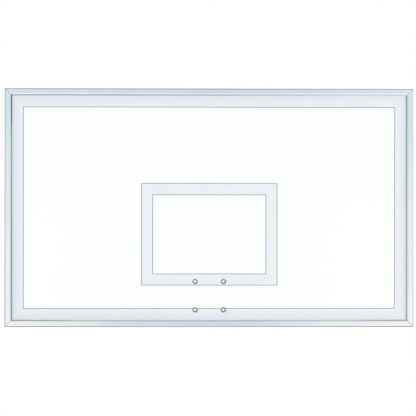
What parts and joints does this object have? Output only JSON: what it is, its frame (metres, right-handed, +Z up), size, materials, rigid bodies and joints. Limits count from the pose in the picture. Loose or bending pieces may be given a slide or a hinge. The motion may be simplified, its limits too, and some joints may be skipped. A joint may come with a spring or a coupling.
{
  "type": "basketball backboard",
  "caption": "Clear glass basketball backboard in a mitred aluminium frame, with a fired white border and target, bushed rim holes and slotted rear corner plates.",
  "frame": {"origin": "centre of the four rear mounting slots, on the rear face of the corner plates, which is also the board's centre in width and height", "axes": "+X along the board's width, to the right as seen from the playing side; +Y out of the back, towards the support; +Z up"},
  "size_m": [1.8288, 0.0431, 1.0668],
  "materials": {
    "frame_aluminium": "satin anodised extrusion",
    "clear_glass": "polished tempered sheet",
    "white_enamel": "fired ceramic ink, semi-gloss",
    "grey_enamel": "fired ceramic ink, semi-gloss",
    "gasket_vinyl": "extruded vinyl, matt",
    "bushing_nylon": "moulded nylon",
    "key_casting": "die cast",
    "plate_steel": "galvanised plate",
    "screw_steel": "zinc plated",
    "block_rubber": "moulded neoprene"
  },
  "bodies": {
    "root": {"border_keyline": "grey_enamel", "border_stripe": "white_enamel", "bottom_gasket": "gasket_vinyl", "bottom_rail": "frame_aluminium", "corner_key_bottom_left": "key_casting", "corner_key_bottom_right": "key_casting", "corner_key_top_left": "key_casting", "corner_key_top_right": "key_casting", "front_bushing_bottom_left": "bushing_nylon", "front_bushing_bottom_right": "bushing_nylon", "front_bushing_top_left": "bushing_nylon", "front_bushing_top_right": "bushing_nylon", "glass_panel": "clear_glass", "left_gasket": "gasket_vinyl", "left_rail": "frame_aluminium", "mounting_plate_bottom_left": "plate_steel", "mounting_plate_bottom_right": "plate_steel", "mounting_plate_top_left": "plate_steel", "mounting_plate_top_right": "plate_steel", "plate_screws": "screw_steel", "rear_bushing_bottom_left": "bushing_nylon", "rear_bushing_bottom_right": "bushing_nylon", "rear_bushing_top_left": "bushing_nylon", "rear_bushing_top_right": "bushing_nylon", "right_gasket": "gasket_vinyl", "right_rail": "frame_aluminium", "setting_blocks": "block_rubber", "side_blocks": "block_rubber", "target_keylines": "grey_enamel", "target_stripe": "white_enamel", "top_blocks": "block_rubber", "top_gasket": "gasket_vinyl", "top_rail": "frame_aluminium"}
  },
  "joints": []
}
